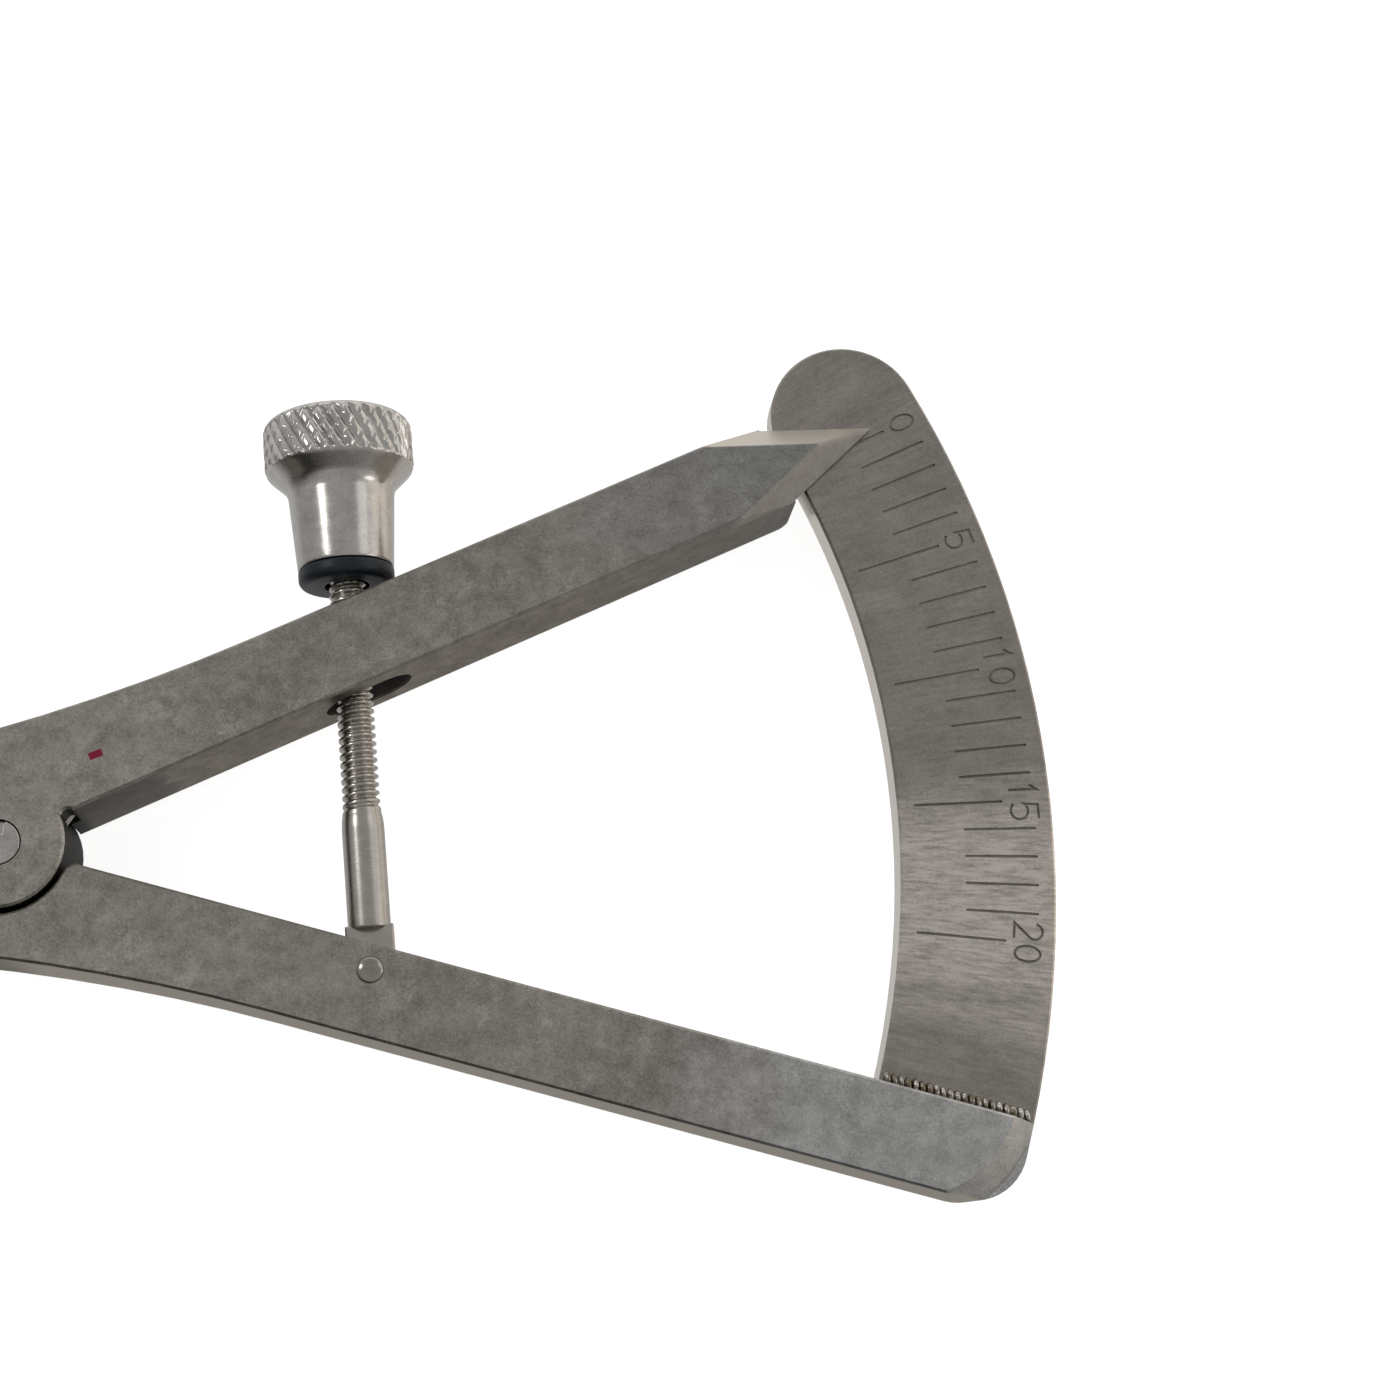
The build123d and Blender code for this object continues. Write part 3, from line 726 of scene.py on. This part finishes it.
def nut_surface(sizes):
    """The nut's turned section carried round the screw, with the knurl cut into its head.

    Each of the two sets of grooves is a triangle wave of starts * angle / turn plus or minus
    the twist times the height, the second set shallower; a point's height in the knurl is the
    lower of the two waves.
    """
    low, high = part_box("thumb_nut")
    head_radius = (high.x - low.x) / 2
    foot, top = low.y - PIN.y, high.y - PIN.y
    foot_radius = (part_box("friction_ring")[1].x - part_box("friction_ring")[0].x) / 2
    cone = foot + sizes.neck_length
    head = cone + sizes.undercut_length
    corners = [
        (sizes.bore_radius, foot), (foot_radius, foot), (sizes.neck_radius, cone),
        (head_radius - 0.12 * MM, head - 0.1 * MM), (head_radius, head + 0.08 * MM),
        (head_radius, top - 0.28 * MM), (head_radius - 0.3 * MM, top),
        (sizes.bore_radius + 0.3 * MM, top), (sizes.bore_radius, top - 0.3 * MM),
    ]
    radii = np.array([0, 0.08, 0.35, 0.10, 0.10, 0.22, 0.22, 0.04, 0]) * MM
    profile = rounded(corners + corners[:1], list(radii) + [0])
    radius, height = with_steps(profile, 0.05 * MM)[:-1].T[..., None]
    angle = angles(720)[None]
    starts = sizes.knurl_starts
    twist = starts * math.tan(sizes.knurl_angle) / (TURN * head_radius)
    around = starts * angle / TURN
    tooth = np.minimum(triangle_wave(around + twist * height),
                       0.35 + 0.65 * triangle_wave(around - twist * height))
    on_head = smooth_step(height, head - 0.05 * MM, head + 0.12 * MM) \
        * (1 - smooth_step(height, top - 0.42 * MM, top - 0.16 * MM)) \
        * smooth_step(radius, head_radius - 0.25 * MM, head_radius - 0.05 * MM)
    cut = (1 - np.clip(tooth * 1.5, 0, 1)) * on_head
    return ring_sheet(round_screw(angle, radius - sizes.knurl_depth * cut, height), loop=True)


class CALLIPER_OT_add_friction_ring(bpy.types.Operator):
    """Adds the black ring between the thumb nut and the pointer arm"""
    bl_idname = "calliper.add_friction_ring"
    bl_label = "Add the Friction Ring"

    def execute(self, context):
        low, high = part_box("friction_ring")
        outer, bore = (high.x - low.x) / 2, 0.95 * MM
        foot, top = low.y - PIN.y, high.y - PIN.y
        corners = [(bore, foot), (outer, foot), (outer, top), (bore, top), (bore, foot)]
        section = rounded(corners, np.array([0, 0.42, 0.14, 0.08, 0]) * MM, steps=12)
        radius, height = with_steps(section, 0.1 * MM)[:-1].T[..., None]
        shell = ring_sheet(round_screw(angles(120)[None], radius, height), loop=True)
        material = black_rubber("black_rubber", context.scene.calliper_colours.rubber)
        add_piece("rubber_ring", [shell], "ring", material, "friction_ring")
        return {"FINISHED"}


class CALLIPER_OT_add_pivot_screw(bpy.types.Operator):
    """Adds the pivot screw with its slotted, slightly domed head"""
    bl_idname = "calliper.add_pivot_screw"
    bl_label = "Add the Pivot Screw"

    def execute(self, context):
        low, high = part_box("pivot_screw")
        head_radius, shank_radius = (high.x - low.x) / 2, 0.6 * MM
        top, foot = high.z - PIVOT.z, low.z - PIVOT.z
        under_head = top - 0.56 * MM
        section = rounded([
            (0.01 * MM, top), (head_radius, top), (head_radius, under_head),
            (shank_radius, under_head), (shank_radius, foot), (0.01 * MM, foot),
        ], np.array([0, 0.1, 0.03, 0.03, 0.1, 0]) * MM)
        radius, height = with_steps(section, 0.02 * MM).T[..., None]
        angle = angles(300)[None]
        height = height - slot_depth(radius, angle, height, top)
        material = bright_steel("bright_steel_pivot", context.scene.calliper_colours.bright)
        add_piece("slotted_screw", [ring_sheet(round_pivot(angle, radius, height))],
                  "scale_side", material, "pivot_screw")
        return {"FINISHED"}


def slot_depth(radius, angle, height, top):
    """How far the driver slot lowers the head: full depth within half its width of its line."""
    half_width, depth, turn = 0.12 * MM, 0.2 * MM, math.radians(76)
    aside = np.abs(radius * np.sin(angle - turn))
    on_face = smooth_step(height, top - 0.12 * MM, top - 0.08 * MM)
    in_slot = 1 - smooth_step(aside, half_width - 0.02 * MM, half_width + 0.02 * MM)
    return depth * in_slot * on_face


class CALLIPER_OT_add_cross_pin(bpy.types.Operator):
    """Adds the cross pin with its two domed ends"""
    bl_idname = "calliper.add_cross_pin"
    bl_label = "Add the Cross Pin"

    def execute(self, context):
        low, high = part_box("cross_pin")
        pin_radius, top = (high.x - low.x) / 2, high.z - PIN.z
        dome = 0.2 * MM
        out = np.linspace(0.02, 1, 16)
        rise = dome * np.sqrt(1 - out ** 2)
        radius = np.concatenate([pin_radius * out, pin_radius * out[::-1]])[:, None]
        height = np.concatenate([top - dome + rise, -(top - dome) - rise[::-1]])[:, None]
        shell = ring_sheet(round_pin(angles(72)[None], radius, height))
        material = bright_steel("bright_steel_pin", context.scene.calliper_colours.satin)
        add_piece("domed_pin", [shell], "scale_side", material, "cross_pin")
        return {"FINISHED"}


class CALLIPER_OT_add_torsion_spring(bpy.types.Operator):
    """Adds the torsion spring: a coil round the pivot with a leg towards each arm"""
    bl_idname = "calliper.add_torsion_spring"
    bl_label = "Add the Torsion Spring"

    def execute(self, context):
        coil_radius, reach, wire = 1.3 * MM, 2.95 * MM, 0.15 * MM
        lower_leg, upper_leg, turns, steps = math.radians(-28), math.radians(25), 4, 320
        low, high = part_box("torsion_spring")
        height = high.z - low.z - 2 * wire
        spread = math.acos(coil_radius / reach)
        turning = np.linspace(lower_leg + spread, upper_leg - spread + turns * TURN, steps)
        coil = round_pivot(turning, coil_radius, np.linspace(-height / 2, height / 2, steps))
        lower_end = round_pivot(lower_leg, reach, -height / 2)
        upper_end = round_pivot(upper_leg, reach, height / 2)
        path = np.vstack([lower_end, coil, upper_end])
        material = turned_steel("spring_wire", context.scene.calliper_colours.turned)
        add_piece("spring_coil", [ring_sheet(tube(path, wire))], "scale_side",
                  material, "torsion_spring")
        return {"FINISHED"}


def tube(path, radius, sides=14):
    """Rings round a path: each lies across its tangent, between the level and the steep normal."""
    tangent = np.gradient(path, axis=0)
    tangent /= np.linalg.norm(tangent, axis=1)[:, None]
    level = np.cross(tangent, (0, 0, 1))
    level /= np.linalg.norm(level, axis=1)[:, None]
    steep = np.cross(level, tangent)
    angle = angles(sides)[None, :, None]
    outward = np.cos(angle) * level[:, None] + np.sin(angle) * steep[:, None]
    return path[:, None] + radius * outward


class CALLIPER_OT_add_weld_beads(bpy.types.Operator):
    """Adds the two rows of weld beads that join the scale plate to its arm"""
    bl_idname = "calliper.add_weld_beads"
    bl_label = "Add the Weld Beads"

    def execute(self, context):
        material = weld_steel("weld_steel", context.scene.calliper_colours.bright)
        plate_low, plate_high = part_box("scale_plate")
        for node, name, level in (("weld_bead_top", "weld_row_top", plate_high.z),
                                  ("weld_bead_under", "weld_row_under", plate_low.z)):
            add_piece(name, weld_row(node, level), "scale_side", material, node)
        return {"FINISHED"}


def weld_row(node, level):
    """Overlapping leaning beads along the seam, which runs down the middle of the CAD row.

    A bead is an ellipsoid: its long axis leans 25 degrees from square to the seam, and its
    size and height waver from bead to bead by a few per cent.
    """
    low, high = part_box(node)
    along = np.array((math.cos(HALF_OPENING), -math.sin(HALF_OPENING), 0))
    middle = np.array(((low.x + high.x) / 2, (low.y + high.y) / 2, level))
    count, pitch, lean = 21, 0.296 * MM, math.radians(25)
    square = np.array((-along[1], along[0], 0))
    long_axis = square * math.cos(lean) - along * math.sin(lean)
    short_axis = np.cross(long_axis, (0, 0, 1))
    polar = np.linspace(0.05, math.pi - 0.05, 14)[:, None, None]
    angle = angles(24)[None, :, None]
    beads = []
    for i in range(count):
        waver = 1 + 0.12 * math.sin(5.3 * i) + 0.07 * math.sin(2.1 * i + 1)
        centre = middle + along * pitch * (i - (count - 1) / 2)
        centre = centre + square * 0.015 * MM * math.sin(3.7 * i)
        shape = (np.cos(polar) * long_axis * 0.29 * MM
                 + np.sin(polar) * np.cos(angle) * short_axis * 0.15 * MM * waver
                 + np.sin(polar) * np.sin(angle) * np.array((0, 0, 0.24 * MM * waver)))
        beads.append(ring_sheet(centre + shape))
    return beads


class CALLIPER_OT_add_stage(bpy.types.Operator):
    """Adds the floor, the lights and the camera"""
    bl_idname = "calliper.add_stage"
    bl_label = "Add the Stage"

    def execute(self, context):
        settings = context.scene.calliper_studio
        add_camera(settings)
        add_floor(settings)
        add_room(settings)
        add_lights(settings)
        context.scene.view_settings.view_transform = "Standard"
        return {"FINISHED"}


def add_camera(settings):
    """A camera that looks from its place at its aim, turned by roll about that line."""
    data = bpy.data.cameras.new("camera")
    data.sensor_width, data.lens = 36, settings.lens
    data.clip_start, data.clip_end = 5 * MM, 10
    camera = bpy.data.objects.new("camera", data)
    bpy.context.scene.collection.objects.link(camera)
    place = PIVOT + Vector(settings.camera_from_pivot)
    back = (place - PIVOT - Vector(settings.aim_from_pivot)).normalized()
    level_up = (Y - back * back.y).normalized()
    level_right = level_up.cross(back)
    right = level_right * math.cos(settings.roll) + level_up * math.sin(settings.roll)
    turn = Matrix((right, back.cross(right), back)).transposed()
    camera.matrix_world = Matrix.Translation(place) @ turn.to_4x4()
    bpy.context.scene.camera = camera


def add_floor(settings):
    """A pale matt square under the instrument that glows, so its shadows stay faint.

    The steel doesn't mirror it: as on a photographer's table, its reflections are of the room.
    """
    half, level = settings.floor_size / 2, cad_bounds[0].z - 0.02 * MM
    mesh = bpy.data.meshes.new("floor")
    mesh.from_pydata([(-half, -half, level), (half, -half, level), (half, half, level),
                      (-half, half, level)], [], [(0, 1, 2, 3)])
    finish = Finish("floor_white", Base_Color=(0.86, 0.86, 0.86, 1), Roughness=0.9,
                    Emission_Color=(1, 1, 1, 1), Emission_Strength=settings.floor_glow)
    finish.set("Specular IOR Level", 0.0)
    mesh.materials.append(finish.material)
    floor = bpy.data.objects.new("floor", mesh)
    floor.visible_glossy = False
    bpy.context.scene.collection.objects.link(floor)


def add_room(settings):
    """Surroundings: an even ceiling over a pale table, with a horizon between them.

    The horizon is light behind the instrument, warm and fairly light to its right, and dim in
    front.
    """
    world = bpy.data.worlds.new("room")
    room = NodeTree(world, "Background")
    x, y, z = room.axes(room.node("ShaderNodeTexCoord", output="Generated"))
    horizon = settings.horizon_light * (y * 0.84 + x * 0.5 + 1)
    above = room.blend(z, 0.15, 0.75, horizon, settings.ceiling_light)
    room.set("Strength", room.blend(z, -0.65, -0.25, settings.table_light, above))
    warm = room.blend(x, 0.2, 1.0, 0, 1) * room.blend(z, 0.1, 0.6, 1, 0)
    room.set("Color", room.mix(warm, (0.985, 0.99, 1.0, 1), (1.0, 0.94, 0.87, 1)))
    bpy.context.scene.world = world


def add_lights(settings):
    """Three soft round panels, each as bright as its radiance says."""
    middle = PIVOT + Vector(settings.aim_from_pivot)
    for name, direction, distance, size, radiance in (
        ("key_panel", (-0.63, 0.34, 0.69), 0.5, 0.13, settings.key_light),
        ("top_panel", (0.66, 0.36, 0.64), 0.6, 0.28, settings.key_light * 0.10),
        ("side_panel", (0.90, -0.10, 0.42), 0.5, 0.20, settings.key_light * 0.20),
    ):
        data = bpy.data.lights.new(name, "AREA")
        data.shape, data.size = "DISK", size
        data.energy = radiance * math.pi * math.pi * size ** 2 / 4
        light = bpy.data.objects.new(name, data)
        bpy.context.scene.collection.objects.link(light)
        light.location = middle + Vector(direction).normalized() * distance
        light.rotation_euler = (-Vector(direction)).to_track_quat("-Z", "Y").to_euler()


OPERATORS = (
    CALLIPER_OT_finish_arms,
    CALLIPER_OT_finish_plate,
    CALLIPER_OT_add_adjusting_screw,
    CALLIPER_OT_add_thumb_nut,
    CALLIPER_OT_add_friction_ring,
    CALLIPER_OT_add_pivot_screw,
    CALLIPER_OT_add_cross_pin,
    CALLIPER_OT_add_torsion_spring,
    CALLIPER_OT_add_weld_beads,
    CALLIPER_OT_add_stage,
)


class CALLIPER_PT_panel(bpy.types.Panel):
    """Lists the sizes, the colours and one button for each piece"""
    bl_idname = "CALLIPER_PT_panel"
    bl_label = "Spring Calliper"
    bl_space_type = "VIEW_3D"
    bl_region_type = "UI"
    bl_category = "Calliper"

    def draw(self, context):
        for group in GROUPS:
            box = self.layout.box()
            settings = getattr(context.scene, group)
            for name in settings.bl_rna.properties.keys():
                if name not in ("name", "rna_type"):
                    box.prop(settings, name)
        for operator in OPERATORS:
            self.layout.operator(operator.bl_idname)


def register():
    for group in GROUPS.values():
        bpy.utils.register_class(group)
    for name, group in GROUPS.items():
        setattr(bpy.types.Scene, name, bpy.props.PointerProperty(type=group))
    for kind in OPERATORS + (CALLIPER_PT_panel,):
        bpy.utils.register_class(kind)


def unregister():
    for kind in reversed(OPERATORS + (CALLIPER_PT_panel,)):
        bpy.utils.unregister_class(kind)
    for name in GROUPS:
        delattr(bpy.types.Scene, name)
    for group in reversed(GROUPS.values()):
        bpy.utils.unregister_class(group)


def main():
    register()
    bpy.ops.calliper.finish_arms()
    bpy.ops.calliper.finish_plate()
    bpy.ops.calliper.add_adjusting_screw()
    bpy.ops.calliper.add_thumb_nut()
    bpy.ops.calliper.add_friction_ring()
    bpy.ops.calliper.add_pivot_screw()
    bpy.ops.calliper.add_cross_pin()
    bpy.ops.calliper.add_torsion_spring()
    bpy.ops.calliper.add_weld_beads()
    bpy.ops.calliper.add_stage()


if __name__ == "__main__":
    main()
